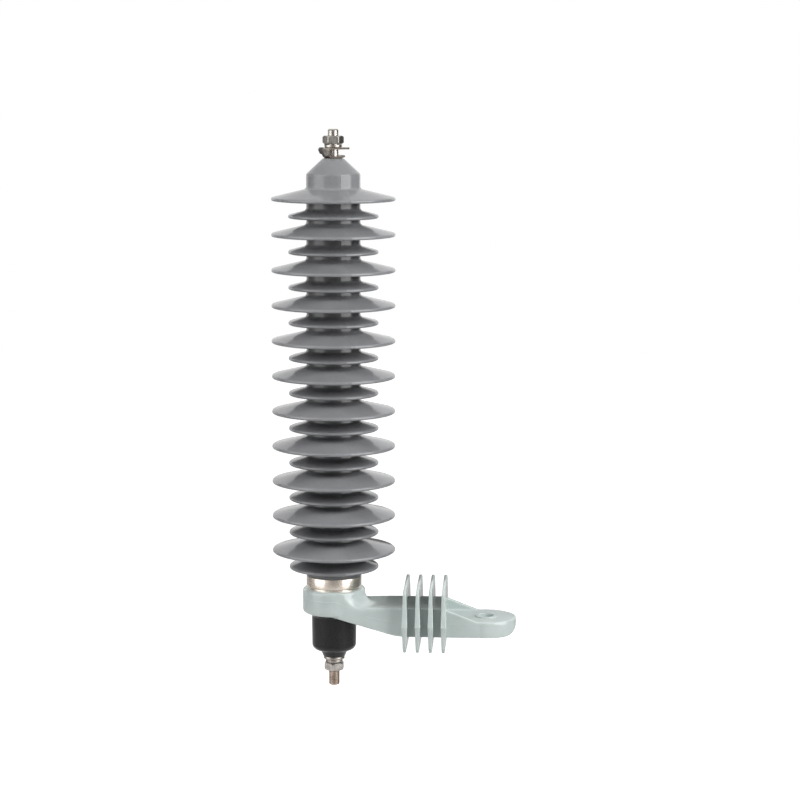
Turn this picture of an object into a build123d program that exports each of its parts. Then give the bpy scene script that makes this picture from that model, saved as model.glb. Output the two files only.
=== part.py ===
from build123d import *
from math import atan2, cos, radians, sin, tan
import os

# Distribution surge arrester, millimetres, +Z up. The origin is the centre of the bracket's
# mounting hole, on the underside of its pad. +X runs from the arrester's axis to that hole.

# ---- driving dimensions ----------------------------------------------------------------
reach = 141.5            # arrester axis to mounting hole

# fits
seat_gap = 0.05          # moulded or slipped together, all round
thread_crest = 5.0       # M10 thread, crest radius
thread_pitch = 4.5       # M10 thread, pitch radius, where a thread is engaged
thread_gap = 0.05        # radial, engaged threads
stud_clearance = 0.5     # radial, a stud through a plain hole
bracket_stud_clearance = 1.0  # radial, the base stud through the moulding

# bracket: moulded in one piece
boss_radius = 29.0
boss_height = 23.1
boss_rim_round = 2.5
boss_arm_round = 6.0     # where the boss grows out of the arm's top
arm_half_width = 27.5
arm_top = 26.2
arm_slope_end = 60.0     # length over which the underside drops to the pad's level
arm_slope_blend = 60.0   # radius between the sloping and the flat underside
arm_drop = 17.4          # how far the boss's foot stands above the pad's underside
pad_thickness = 14.7
pad_radius = 28.0
pad_edge_round = 9.0
spot_face_clearance = 1.2  # radial, round the disconnector where it seats under the arm
hole_radius = 7.25
hole_ring_width = 3.0
hole_ring_height = 0.8
gusset_width = 5.5
gusset_length = 31.0
fin_count = 4
fin_pitch = 11.85
fin_thickness = 5.1      # at the parting line
fin_tip_thickness = 2.3
fin_half_width = 39.5
fin_above = 33.7         # from the parting line to the top edge
fin_below = 24.9         # from the parting line to the bottom edge
fin_corner = 6.0
parting_height = 12.0    # above the pad's underside
last_fin_from_hole = 38.5

# base electrode: ring and plug under the housing
ring_proud = 0.8         # ring and housing foot, past the housing's core
ring_height = 11.7
ring_step = 0.9          # undercut between ring and boss, radial
ring_undercut = 1.6      # its height
plug_radius = 17.0
plug_length = 20.0
plug_groove_depth = 1.2
plug_grooves = 2
base_stud_in_plug = 14.0

# varistor stack
block_count = 10
block_clearance = 0.2    # radial, blocks inside the tube's bore
block_height = 30.0
plate_thickness = 3.0
disc_spring_height = 2.5
disc_spring_thickness = 1.5
disc_spring_bore = 7.5
disc_spring_count = 2
tube_wall = 3.0

# top electrode and line terminal
top_plug_length = 20.5
head_height = 21.0
head_shoulder = 5.0
neck_radius = 8.2
neck_length = 13.0
neck_above_cap = 0.5
line_thread_depth = 23.0
stud_end_above_nut = 6.0
stud_chamfer = 1.0

# housing
pair_pitch = 32.43
small_shed_offset = 15.8
core_radius = 24.7
large_shed_radius = 56.7
small_shed_radius = 41.3
large_shed_rise = 9.0    # from tip to core along the top of a large shed
small_shed_rise = 4.9
shed_tip = 2.1
shed_root = 3.2          # bevel between a shed's top and the core
shed_root_rise = 2.9
foot_collar = 8.6        # from the ring up to the lowest shed's tip
foot_height = 5.5        # of the thicker foot above the ring
foot_bevel = 0.8
least_cap_collar = 20.0  # from the top shed's tip to the shoulder of the cap
cap_height = 14.0
cap_top_radius = 9.7

# wire clamp: one folded strip
strip_thickness = 1.7
strip_width = 19.0
foot_width = 13.0        # the strip narrows in the web to this at the bottom leg
clamp_gap = 6.1
clamp_reach = 11.6       # stud to the open end of the top leg
clamp_back = 10.4        # stud to the fold at the top leg
clamp_foot_back = 6.0    # stud to the fold at the bottom leg
clamp_lip = 0.9          # the bottom leg's end turns up
clamp_lip_start = 5.5    # from there, short of the top leg's end
clamp_lip_end = 3.0
fold_radius = 1.6        # middle of the strip
clamp_turn = 34.0        # degrees, open end turned from +X towards +Y

# hexagon nuts and washers, M10
nut_across_flats = 17.0
nut_chamfer = 30.0       # degrees, from the nut's face
nut_face_inset = 0.2     # face radius inside half the width across flats
nut_height = 7.4
spring_washer_radius = 8.0
spring_washer_thickness = 3.2
split_width = 1.6
flat_washer_radius = 9.8
flat_washer_thickness = 2.6
line_nut_turn = 6.0      # degrees, from a flat square to -Y
ground_nut_turn = 28.7

# disconnector
cover_radius = 20.7
cover_draft = 0.3        # radius lost from top to bottom corner
cover_length = 37.8
cover_corner = 6.0
cover_wall = 2.6
cover_floor = 3.6        # at the bottom
cover_rim = 0.9          # the rim at the top stands proud by this
cover_rim_height = 3.2
outlet_radius = 12.0
outlet_tip_radius = 9.8
outlet_length = 4.6
lid_thickness = 4.0
insert_radius = 9.0
insert_flange_radius = 12.5
insert_flange = 3.0
insert_length = 16.0
base_stud_in_insert = 13.0
terminal_head_radius = 12.0
terminal_head = 3.5
cartridge_radius = 4.0
resistor_radius = 11.0
ground_stud_free = 14.4  # below the nut

# ---- places worked out from them -------------------------------------------------------
boss_bottom = arm_drop
boss_top = boss_bottom + boss_height
ring_top = boss_top + ring_height
plug_top = ring_top + plug_length
stack_bottom = plug_top
blocks_bottom = stack_bottom + plate_thickness
blocks_top = blocks_bottom + block_count * block_height
springs_bottom = blocks_top + plate_thickness
springs_top = springs_bottom + disc_spring_count * disc_spring_height
head_bottom = springs_top + top_plug_length
neck_bottom = head_bottom + head_height
terminal_face = neck_bottom + neck_length
cap_top = terminal_face - neck_above_cap
shoulder = cap_top - cap_height
lowest_tip = ring_top + foot_collar
shed_field = shoulder - least_cap_collar - lowest_tip - small_shed_offset
shed_pairs = int(shed_field // pair_pitch) + 1
tube_radius = plug_radius + tube_wall
block_radius = plug_radius - block_clearance
ring_radius = core_radius + ring_proud
tube_top = head_bottom
clamp_top = terminal_face + clamp_gap + 2 * strip_thickness
line_nut_bottom = clamp_top + spring_washer_thickness
line_nut_top = line_nut_bottom + nut_height
line_stud_top = line_nut_top + stud_end_above_nut
cover_top = boss_bottom
cover_bottom = cover_top - cover_length
outlet_bottom = cover_bottom - outlet_length
ground_flat_top = outlet_bottom
ground_spring_top = ground_flat_top - flat_washer_thickness
ground_nut_top = ground_spring_top - spring_washer_thickness
ground_nut_bottom = ground_nut_top - nut_height
ground_stud_bottom = ground_nut_bottom - ground_stud_free
axis = Pos(-reach, 0, 0)


# ---- helpers ---------------------------------------------------------------------------
def turned(*points):
    """A solid of revolution about Z from (radius, height) points."""
    outline = make_face(Plane.XZ * Polyline(*points, close=True))
    return revolve(outline, Axis.Z)


def rod(radius, bottom, top):
    return Pos(0, 0, bottom) * extrude(Circle(radius), top - bottom)


def hex_nut(bottom, turn):
    """Hexagon nut with both faces chamfered and an engaged thread bore."""
    corner = nut_across_flats / 2 / cos(radians(30))
    bevel = corner - nut_across_flats / 2 + nut_face_inset
    drop = bevel * tan(radians(nut_chamfer))
    blank = extrude(RegularPolygon(corner, 6), nut_height)
    envelope = turned((0, 0), (corner - bevel, 0), (corner, drop), (corner, nut_height - drop),
                      (corner - bevel, nut_height), (0, nut_height))
    nut = (blank & envelope) - rod(thread_pitch + thread_gap, -1, nut_height + 1)
    return Pos(0, 0, bottom) * Rot(0, 0, turn) * nut


def spring_washer(bottom, turn):
    """Split ring with a slanting cut."""
    ring = rod(spring_washer_radius, 0, spring_washer_thickness)
    ring -= rod(thread_crest + stud_clearance, -1, spring_washer_thickness + 1)
    half = spring_washer_thickness / 2
    cut = Pos(spring_washer_radius, 0, half) * Rot(35, 0, 0) * Box(
        2 * spring_washer_radius, split_width, 5 * spring_washer_thickness)
    return Pos(0, 0, bottom) * Rot(0, 0, turn) * (ring - cut)


# ---- housing and what it holds ---------------------------------------------------------
def shed_points(tip_height, radius, rise):
    """Outline of one shed from its underside out to the tip and back up to the core."""
    slope = (rise - shed_tip) / (radius - core_radius)
    return [
        (core_radius, tip_height - shed_tip / 2),
        (radius, tip_height - shed_tip / 2),
        (radius, tip_height + shed_tip / 2),
        (core_radius + shed_root, tip_height + shed_tip / 2 + rise - slope * shed_root),
        (core_radius, tip_height + shed_tip / 2 + rise + shed_root_rise),
    ]


def housing():
    outline = [(tube_radius + seat_gap, ring_top), (ring_radius, ring_top),
               (ring_radius, ring_top + foot_height), (core_radius, ring_top + foot_height + foot_bevel)]
    for pair in range(shed_pairs):
        low = lowest_tip + pair * pair_pitch
        outline += shed_points(low, small_shed_radius, small_shed_rise)
        outline += shed_points(low + small_shed_offset, large_shed_radius, large_shed_rise)
    outline += [
        (core_radius, shoulder),
        (cap_top_radius, cap_top),
        (neck_radius + seat_gap, cap_top),
        (neck_radius + seat_gap, neck_bottom),
        (tube_radius + seat_gap, neck_bottom - head_shoulder),
    ]
    return turned(*outline)


def base_electrode():
    """Ring and grooved plug, turned from one bar, tapped from below."""
    land = plug_length / (2 * plug_grooves + 1)
    outline = [(0, boss_top), (ring_radius - 2 * ring_step, boss_top),
               (ring_radius - 2 * ring_step, boss_top + ring_undercut),
               (ring_radius - ring_step, boss_top + ring_undercut),
               (ring_radius, boss_top + ring_undercut + ring_step), (ring_radius, ring_top),
               (plug_radius, ring_top)]
    for groove in range(plug_grooves):
        low = ring_top + (2 * groove + 1) * land
        outline += [(plug_radius, low), (plug_radius - plug_groove_depth, low),
                    (plug_radius - plug_groove_depth, low + land), (plug_radius, low + land)]
    outline += [(plug_radius, plug_top), (0, plug_top)]
    bore = rod(thread_pitch + thread_gap, boss_top - 1, boss_top + base_stud_in_plug + 2)
    return turned(*outline) - bore


def glass_fibre_tube():
    return rod(tube_radius, ring_top, tube_top) - rod(plug_radius + seat_gap, ring_top - 1, tube_top + 1)


def varistor(number):
    """Metal-oxide block."""
    bottom = blocks_bottom + number * block_height
    return rod(block_radius, bottom, bottom + block_height)


def disc_springs():
    """Disc springs, stacked edge to edge."""
    thickness, inner, outer = disc_spring_thickness, disc_spring_bore, block_radius
    pile = []
    for step in range(disc_spring_count):
        low = springs_bottom + step * disc_spring_height
        high = low + disc_spring_height
        if step % 2 == 0:
            rim, eye = low, high - thickness
        else:
            rim, eye = high - thickness, low
        pile.append(turned((inner, eye), (outer, rim), (outer, rim + thickness),
                           (inner, eye + thickness)))
    return pile


def top_electrode():
    """Plug, head and neck in one, tapped for the line stud."""
    body = turned((0, springs_top), (plug_radius, springs_top), (plug_radius, head_bottom),
                  (tube_radius, head_bottom), (tube_radius, neck_bottom - head_shoulder),
                  (neck_radius, neck_bottom), (neck_radius, terminal_face), (0, terminal_face))
    return body - rod(thread_pitch + thread_gap, terminal_face - line_thread_depth - 2, terminal_face + 1)


# ---- line terminal ---------------------------------------------------------------------
def line_stud():
    """Stud: engaged in the electrode, plain crest through the clamp, engaged in the nut, free end."""
    return turned((0, terminal_face - line_thread_depth),
                  (thread_pitch, terminal_face - line_thread_depth), (thread_pitch, terminal_face),
                  (thread_crest, terminal_face), (thread_crest, line_nut_bottom),
                  (thread_pitch, line_nut_bottom), (thread_pitch, line_nut_top),
                  (thread_crest, line_nut_top), (thread_crest, line_stud_top - stud_chamfer),
                  (thread_crest - stud_chamfer, line_stud_top), (0, line_stud_top))


def line_wire_clamp():
    """Strip folded into two legs joined by a leaning, narrowing web, both legs drilled for the stud."""
    half = strip_thickness / 2
    low, high = terminal_face + half, clamp_top - half
    path = FilletPolyline(
        (clamp_reach, 0, high), (-clamp_back, 0, high), (-clamp_foot_back, 0, low),
        (clamp_reach - clamp_lip_start, 0, low), (clamp_reach - clamp_lip_end, 0, low + clamp_lip),
        radius=fold_radius)
    section = Plane(origin=path @ 0, x_dir=(0, 1, 0), z_dir=path % 0) * Rectangle(
        strip_width, strip_thickness)
    strip = sweep(section, path=path)
    taper_bottom, taper_top = terminal_face + 2 * strip_thickness, clamp_top - 2 * strip_thickness
    face_on = make_face(Plane.YZ * Polyline(
        (-foot_width / 2, terminal_face - 1), (foot_width / 2, terminal_face - 1),
        (foot_width / 2, taper_bottom), (strip_width / 2, taper_top), (strip_width / 2, clamp_top + 1),
        (-strip_width / 2, clamp_top + 1), (-strip_width / 2, taper_top), (-foot_width / 2, taper_bottom),
        close=True))
    strip &= extrude(face_on, 2 * clamp_reach, both=True)
    strip -= rod(thread_crest + stud_clearance, terminal_face - 1, clamp_top + 1)
    return Rot(0, 0, clamp_turn) * strip


# ---- bracket ---------------------------------------------------------------------------
def bracket():
    """Boss, arm, fins, gussets and pad, with draft on the fins from one parting line."""
    last_fin = -last_fin_from_hole
    plan = Rectangle(reach, 2 * arm_half_width, align=(Align.MAX, Align.CENTER)) + Circle(pad_radius)
    body = extrude(arm_side(last_fin), pad_radius + 1, both=True) & extrude(plan, arm_top)
    body += gussets(last_fin)
    body += boss()
    joint = [e for e in body.edges().filter_by_position(Axis.Z, arm_top, arm_top)
             if abs((e @ 0.5 - Vector(-reach, 0, arm_top)).length - boss_radius) < 0.01]
    body = fillet(joint, boss_arm_round)
    for fin in range(fin_count):
        body += Pos(last_fin - fin * fin_pitch, 0, parting_height) * fin_plate()
    body -= Pos(-reach, 0, 0) * rod(
        thread_crest + bracket_stud_clearance, boss_bottom - 1, boss_top + 1)
    spot_radius = cover_radius + cover_rim + spot_face_clearance
    body -= Pos(-reach, 0, 0) * rod(spot_radius, -1, boss_bottom)
    ring = rod(hole_radius + hole_ring_width, pad_thickness, pad_thickness + hole_ring_height)
    body += ring
    body -= rod(hole_radius, -1, pad_thickness + 2)
    return body


def fillet_bend(slope_end):
    """Three points of the arc that blends the sloping underside into the flat one."""
    angle = atan2(boss_bottom, arm_slope_end)
    run = arm_slope_blend * tan(angle / 2)
    return [(slope_end + run - arm_slope_blend * sin(a), arm_slope_blend * (1 - cos(a)))
            for a in (angle, angle / 2, 0)]


def arm_side(last_fin):
    """Side outline of arm and pad: sloping underside, flat underside, round end, stepped top."""
    slope_end = -reach + arm_slope_end
    round_start = pad_radius - pad_edge_round
    corner = pad_edge_round * (1 - cos(radians(45)))
    bend = fillet_bend(slope_end)
    return make_face(Plane.XZ * (
        Polyline((-reach, arm_top), (-reach, boss_bottom), bend[0])
        + ThreePointArc(*bend)
        + Line(bend[2], (round_start, 0))
        + ThreePointArc((round_start, 0), (pad_radius - corner, corner), (pad_radius, pad_edge_round))
        + Polyline((pad_radius, pad_edge_round), (pad_radius, pad_thickness),
                   (last_fin, pad_thickness), (last_fin, arm_top), (-reach, arm_top))))


def boss():
    """Round boss with both rims rounded."""
    solid = rod(boss_radius, boss_bottom, boss_top)
    return Pos(-reach, 0, 0) * fillet(solid.edges().filter_by(GeomType.CIRCLE), boss_rim_round)


def gussets(last_fin):
    """Two thin side walls that run from the arm's top down to the pad."""
    side = make_face(Plane.XZ * Polyline(
        (last_fin, pad_thickness), (last_fin + gusset_length, pad_thickness), (last_fin, arm_top),
        close=True))
    wall = extrude(side, gusset_width / 2, both=True)
    shift = arm_half_width - gusset_width / 2
    return Pos(0, shift, 0) * wall + Pos(0, -shift, 0) * wall


def fin_plate():
    """Round-cornered plate, thickest at the parting line and thinner to both edges."""
    height = fin_above + fin_below
    middle = (fin_above - fin_below) / 2
    outline = Plane.YZ * Pos(0, middle) * RectangleRounded(2 * fin_half_width, height, fin_corner)
    blank = extrude(outline, fin_thickness, both=True)
    taper = make_face(Plane.XZ * Polyline(
        (-fin_thickness / 2, 0), (-fin_tip_thickness / 2, -fin_below),
        (fin_tip_thickness / 2, -fin_below), (fin_thickness / 2, 0),
        (fin_tip_thickness / 2, fin_above), (-fin_tip_thickness / 2, fin_above), close=True))
    return blank & extrude(taper, fin_half_width + 1, both=True)


# ---- disconnector ----------------------------------------------------------------------
def disconnector_cover():
    """Moulded cup with a rim at the top, a rounded foot and a tapered outlet."""
    foot_radius = cover_radius - cover_draft
    inside = foot_radius - cover_wall
    floor = cover_bottom + cover_floor
    outline = Plane.XZ * (
        Polyline((thread_crest + stud_clearance, outlet_bottom), (outlet_tip_radius, outlet_bottom),
                 (outlet_radius, cover_bottom))
        + ThreePointArc((outlet_radius, cover_bottom),
                        (foot_radius - cover_corner * 0.35, cover_bottom + cover_corner * 0.38),
                        (foot_radius, cover_bottom + cover_corner))
        + Polyline((foot_radius, cover_bottom + cover_corner), (cover_radius, cover_top - cover_rim_height),
                   (cover_radius + cover_rim, cover_top - cover_rim_height + cover_rim),
                   (cover_radius + cover_rim, cover_top),
                   (inside + seat_gap, cover_top), (inside + seat_gap, floor),
                   (thread_crest + stud_clearance, floor),
                   (thread_crest + stud_clearance, outlet_bottom)))
    return revolve(make_face(outline), Axis.Z), inside, floor


def disconnector_lid(inside):
    """Lid let into the mouth of the cup, with the seat of the threaded insert."""
    return rod(inside, cover_top - lid_thickness, cover_top) - rod(
        insert_radius + seat_gap, cover_top - lid_thickness - 1, cover_top + 1)


def disconnector_insert():
    """Flanged threaded sleeve, its flange under the lid."""
    flange_top = cover_top - lid_thickness
    sleeve = rod(insert_radius, cover_top - insert_length, cover_top)
    sleeve += rod(insert_flange_radius, flange_top - insert_flange, flange_top)
    return sleeve - rod(thread_pitch + thread_gap, cover_top - base_stud_in_insert - 1, cover_top + 1)


def grading_resistor(bottom, top):
    return rod(resistor_radius, bottom, top) - rod(cartridge_radius + seat_gap, bottom - 1, top + 1)


def ground_stud(floor):
    """Stud with a round head inside the cup."""
    return turned((0, ground_stud_bottom), (thread_crest - stud_chamfer, ground_stud_bottom),
                  (thread_crest, ground_stud_bottom + stud_chamfer), (thread_crest, ground_nut_bottom),
                  (thread_pitch, ground_nut_bottom), (thread_pitch, ground_nut_top),
                  (thread_crest, ground_nut_top), (thread_crest, floor),
                  (terminal_head_radius, floor), (terminal_head_radius, floor + terminal_head),
                  (0, floor + terminal_head))


def base_stud():
    """Stud engaged in the base electrode above and in the disconnector's insert below."""
    bottom, top = cover_top - base_stud_in_insert, boss_top + base_stud_in_plug
    return turned((0, bottom), (thread_pitch, bottom), (thread_pitch, cover_top),
                  (thread_crest, cover_top), (thread_crest, boss_top), (thread_pitch, boss_top),
                  (thread_pitch, top), (0, top))


def ground_flat_washer():
    bottom = ground_flat_top - flat_washer_thickness
    return rod(flat_washer_radius, bottom, ground_flat_top) - rod(
        thread_crest + stud_clearance, bottom - 1, ground_flat_top + 1)


# ---- assembly --------------------------------------------------------------------------
def pieces():
    cover, inside, floor = disconnector_cover()
    works_bottom = floor + terminal_head
    works_top = cover_top - insert_length
    on_axis = {
        "housing": [housing()],
        "base_electrode": [base_electrode()],
        "glass_fibre_tube": [glass_fibre_tube()],
        "lower_contact_plate": [rod(block_radius, stack_bottom, blocks_bottom)],
        "upper_contact_plate": [rod(block_radius, blocks_top, springs_bottom)],
        "stack_springs": disc_springs(),
        "top_electrode": [top_electrode()],
        "line_stud": [line_stud()],
        "line_wire_clamp": [line_wire_clamp()],
        "line_spring_washer": [spring_washer(clamp_top, 200)],
        "line_nut": [hex_nut(line_nut_bottom, line_nut_turn)],
        "base_stud": [base_stud()],
        "disconnector_cover": [cover],
        "disconnector_lid": [disconnector_lid(inside)],
        "disconnector_insert": [disconnector_insert()],
        "grading_resistor": [grading_resistor(works_bottom, works_top)],
        "cartridge": [rod(cartridge_radius, works_bottom, works_top)],
        "ground_stud": [ground_stud(floor)],
        "ground_flat_washer": [ground_flat_washer()],
        "ground_spring_washer": [spring_washer(ground_nut_top, 150)],
        "ground_nut": [hex_nut(ground_nut_bottom, ground_nut_turn)],
    }
    for number in range(block_count):
        on_axis[f"varistor_{number + 1:02d}"] = [varistor(number)]
    placed = {name: [axis * solid for solid in solids] for name, solids in on_axis.items()}
    placed["bracket"] = [bracket()]
    return placed


def main():
    os.makedirs("parts", exist_ok=True)
    for name, solids in pieces().items():
        single = [s for shape in solids for s in shape.solids()]
        export_step(single[0] if len(single) == 1 else Compound(children=single), f"parts/{name}.step")


main()
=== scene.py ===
from math import atan2, cos, pi, radians, sin, tan

import bpy
from bpy.props import FloatProperty, IntProperty, PointerProperty, StringProperty
from mathutils import Matrix, Vector


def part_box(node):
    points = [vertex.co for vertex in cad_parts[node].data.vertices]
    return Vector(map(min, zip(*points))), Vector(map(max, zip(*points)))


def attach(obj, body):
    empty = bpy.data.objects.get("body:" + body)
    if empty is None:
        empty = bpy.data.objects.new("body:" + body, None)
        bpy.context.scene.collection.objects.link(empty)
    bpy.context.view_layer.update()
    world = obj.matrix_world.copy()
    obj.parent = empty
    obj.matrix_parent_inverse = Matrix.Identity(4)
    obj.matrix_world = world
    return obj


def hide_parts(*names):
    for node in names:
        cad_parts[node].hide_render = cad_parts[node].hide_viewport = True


bl_info = {
    "name": "Distribution surge arrester",
    "version": (2, 0, 0),
    "blender": (4, 5, 0),
    "location": "View3D > Sidebar > Arrester",
    "description": "Silicone housing, terminals, moulded bracket and disconnector of a surge arrester",
    "category": "Add Mesh",
}

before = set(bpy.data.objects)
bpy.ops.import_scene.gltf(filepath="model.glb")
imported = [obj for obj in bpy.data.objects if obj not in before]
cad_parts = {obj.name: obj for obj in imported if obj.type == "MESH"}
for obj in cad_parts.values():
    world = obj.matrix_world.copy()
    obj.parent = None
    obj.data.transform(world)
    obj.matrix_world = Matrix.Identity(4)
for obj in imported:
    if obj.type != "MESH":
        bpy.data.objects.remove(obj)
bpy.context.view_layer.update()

# ---- places and sizes that come from the frame -----------------------------------------
MM = 0.001
BODY = "root"
LOW, HIGH = 0, 1            # the two corners of a box
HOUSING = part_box("housing")
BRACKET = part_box("bracket")
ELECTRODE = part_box("base_electrode")
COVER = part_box("disconnector_cover")
LINE_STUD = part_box("line_stud")
LINE_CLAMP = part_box("line_wire_clamp")
LINE_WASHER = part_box("line_spring_washer")
LINE_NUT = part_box("line_nut")
GROUND_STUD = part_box("ground_stud")
GROUND_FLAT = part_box("ground_flat_washer")
GROUND_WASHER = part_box("ground_spring_washer")
GROUND_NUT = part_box("ground_nut")
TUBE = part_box("glass_fibre_tube")
TOP_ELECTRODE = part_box("top_electrode")
AXIS_X = (HOUSING[LOW].x + HOUSING[HIGH].x) / 2
AXIS = Vector((AXIS_X, 0, 0))
ORIGIN = Vector((0, 0, 0))  # under the middle of the mounting hole


def radius(box):
    """Largest radius of a turned node."""
    return (box[HIGH].x - box[LOW].x) / 2


# ---- how finely shapes are drawn -------------------------------------------------------
WELD = 0.001 * MM           # vertices nearer than this are one
COPY_WELD = 0.005 * MM      # the same, between the copies of an outline
SAME_SPOT = 0.02 * MM       # how near to its place a corner is looked for
ROUND, LARGE_ROUND = 96, 128
FEWEST_STEPS, MOST_STEPS = 4, 9     # in a rounded corner
PAST = 1 * MM               # how far a cutter runs past what it cuts


# ---- what a user would change ----------------------------------------------------------
def length(name, description, millimetres):
    return FloatProperty(name=name, description=description, default=millimetres * MM, unit="LENGTH")


class ArresterSizes(bpy.types.PropertyGroup):
    """Sizes of the visible pieces that their boxes don't give."""

    shed_pairs: IntProperty(name="Shed pairs", description="Large and small sheds, in pairs",
                            default=11, min=1)
    pair_pitch: length("Pair pitch", "Height of one pair of sheds", 32.43)
    foot_collar: length("Foot collar", "From the foot up to the lowest shed's tip", 8.2)
    small_offset: length("Small shed offset", "From a small tip up to the large one", 15.8)
    core_radius: length("Core radius", "Housing between the sheds", 24.7)
    small_radius: length("Small shed radius", "Tip of a small shed", 41.3)
    large_rise: length("Large shed rise", "From tip to core on a large shed", 7.8)
    small_rise: length("Small shed rise", "From tip to core on a small shed", 4.3)
    tip_thickness: length("Tip thickness", "Rounded edge of a shed", 2.9)
    cap_height: length("Cap height", "Cone above the shoulder", 14.0)
    seam_height: length("Seam height", "Ridge left by the housing's mould", 0.06)
    boss_radius: length("Boss radius", "Round boss of the bracket", 29.0)
    boss_flare: length("Boss flare", "Round between the boss and the arm's top", 10.0)
    arm_half_width: length("Arm half width", "Arm of the bracket", 27.5)
    arm_top: length("Arm top", "Above the pad's underside", 26.7)
    pad_radius: length("Pad radius", "Round end of the arm", 28.0)
    pad_thickness: length("Pad thickness", "Round end of the arm", 14.7)
    fin_pitch: length("Fin pitch", "Between two fins", 11.85)
    nut_width: length("Nut width", "Across the flats, M10", 17.0)
    thread_pitch: length("Thread pitch", "M10 coarse thread", 1.5)
    thread_depth: length("Thread depth", "Crest to root", 0.6)


class ArresterLooks(bpy.types.PropertyGroup):
    """Colours of the visible pieces, sRGB hex."""

    silicone_dark: StringProperty(name="Silicone, darker", description="Filler clouds", default="#757678")
    silicone_light: StringProperty(name="Silicone, lighter", description="Filler clouds", default="#808183")
    bracket_shade: StringProperty(name="Bracket, darker", description="Fibre clouds", default="#AEB9B6")
    bracket_light: StringProperty(name="Bracket, lighter", description="Fibre clouds", default="#BBC4C2")
    black_dark: StringProperty(name="Disconnector, darker", description="Moulding", default="#121213")
    black_light: StringProperty(name="Disconnector, lighter", description="Moulding", default="#18181A")
    floor: StringProperty(name="Floor", description="Floor and backdrop", default="#F2F2F2")


def sizes():
    return bpy.context.scene.arrester_sizes


def looks():
    return bpy.context.scene.arrester_looks


# ---- mesh helpers ----------------------------------------------------------------------
def deselect():
    """Nothing selected, so that an operator acts only on what it is given."""
    if bpy.context.object and bpy.context.object.mode != "OBJECT":
        bpy.ops.object.mode_set(mode="OBJECT")
    bpy.ops.object.select_all(action="DESELECT")


def pick(piece):
    deselect()
    piece.select_set(True)
    bpy.context.view_layer.objects.active = piece


def settle(piece):
    """Puts the piece's place into its mesh, so that its object stands at the origin."""
    pick(piece)
    bpy.ops.object.transform_apply(location=True, rotation=True, scale=True)
    return piece


def edit(piece, mode="FACE"):
    pick(piece)
    bpy.ops.object.mode_set(mode="EDIT")
    bpy.ops.mesh.select_mode(type=mode)
    bpy.ops.mesh.select_all(action="SELECT")


def leave():
    bpy.ops.object.mode_set(mode="OBJECT")


def choose(piece, kind, test):
    """In edit mode, selects the faces, edges or vertices that pass a test."""
    bpy.ops.mesh.select_all(action="DESELECT")
    leave()
    for item in getattr(piece.data, kind):
        item.select = bool(test(item))
    bpy.ops.object.mode_set(mode="EDIT")


def weld(piece, gap=WELD):
    """Goes into edit mode with doubles merged and everything selected."""
    edit(piece, "VERT")
    bpy.ops.mesh.remove_doubles(threshold=gap)
    bpy.ops.mesh.select_all(action="SELECT")


def clean(piece):
    """Merges doubles and turns every face outwards."""
    edit(piece)
    bpy.ops.mesh.remove_doubles(threshold=WELD)
    bpy.ops.mesh.normals_make_consistent(inside=False)
    leave()
    return piece


def smooth(piece, degrees):
    """Shades smooth, apart from edges sharper than the angle."""
    pick(piece)
    bpy.ops.object.shade_smooth_by_angle(angle=radians(degrees))


def modify(piece, kind, **settings):
    """Adds one modifier and applies it."""
    pick(piece)
    made = piece.modifiers.new(kind.title(), kind)
    for key, value in settings.items():
        setattr(made, key, value)
    bpy.ops.object.modifier_apply(modifier=made.name)
    return piece


def row(piece, count, step, **settings):
    """Copies a piece in a row."""
    return modify(piece, "ARRAY", count=count, use_relative_offset=False, use_constant_offset=True,
                  constant_offset_displace=step, **settings)


def boolean(piece, other, operation):
    """Unites, cuts or intersects a piece with another, which is used up."""
    modify(piece, "BOOLEAN", operation=operation, object=other, solver="EXACT")
    bpy.data.objects.remove(other)
    return piece


def join(piece, *others):
    """Puts several pieces into one mesh."""
    pick(piece)
    for other in others:
        other.select_set(True)
    bpy.ops.object.join()
    return piece


def duplicate(piece, shift):
    """A copy with its own mesh, moved."""
    pick(piece)
    bpy.ops.object.duplicate()
    copy = bpy.context.object
    copy.location = shift
    return settle(copy)


def block(name, low, high):
    """A box between two corners."""
    deselect()
    low, high = Vector(low), Vector(high)
    bpy.ops.mesh.primitive_cube_add(size=1, location=(low + high) / 2, scale=high - low)
    piece = bpy.context.object
    piece.name = name
    return settle(piece)


def drum(name, reach, low, high, centre=AXIS, sides=ROUND, turn=0.0):
    """An upright cylinder or prism between two heights."""
    deselect()
    bpy.ops.mesh.primitive_cylinder_add(
        vertices=sides, radius=reach, depth=high - low, location=(centre.x, centre.y, (low + high) / 2),
        rotation=(0, 0, turn))
    piece = bpy.context.object
    piece.name = name
    return settle(piece)


def chain(name, points, y=0.0):
    """A line of edges through (x, z) points, drawn by extruding one vertex."""
    deselect()
    bpy.ops.mesh.primitive_plane_add(size=MM, location=(points[0][0], y, points[0][1]))
    piece = settle(bpy.context.object)
    piece.name = name
    edit(piece, "VERT")
    bpy.ops.mesh.merge(type="CENTER")
    for before, after in zip(points, points[1:]):
        step = (after[0] - before[0], 0, after[1] - before[1])
        bpy.ops.mesh.extrude_region_move(TRANSFORM_OT_translate={"value": step})
    leave()
    return piece


def round_off(piece, corners):
    """Rounds the chain at (x, z, run along both sides) corners, a longer run in more steps."""
    edit(piece, "VERT")
    for x, z, run in corners:
        spot = Vector((x, z))
        steps = max(FEWEST_STEPS, min(MOST_STEPS, int(run / MM) + 3))
        choose(piece, "vertices", lambda v: (v.co.xz - spot).length < SAME_SPOT)
        bpy.ops.mesh.bevel(offset_type="ABSOLUTE", offset=run, segments=steps, profile=0.5,
                           affect="VERTICES")
    leave()
    return piece


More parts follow.
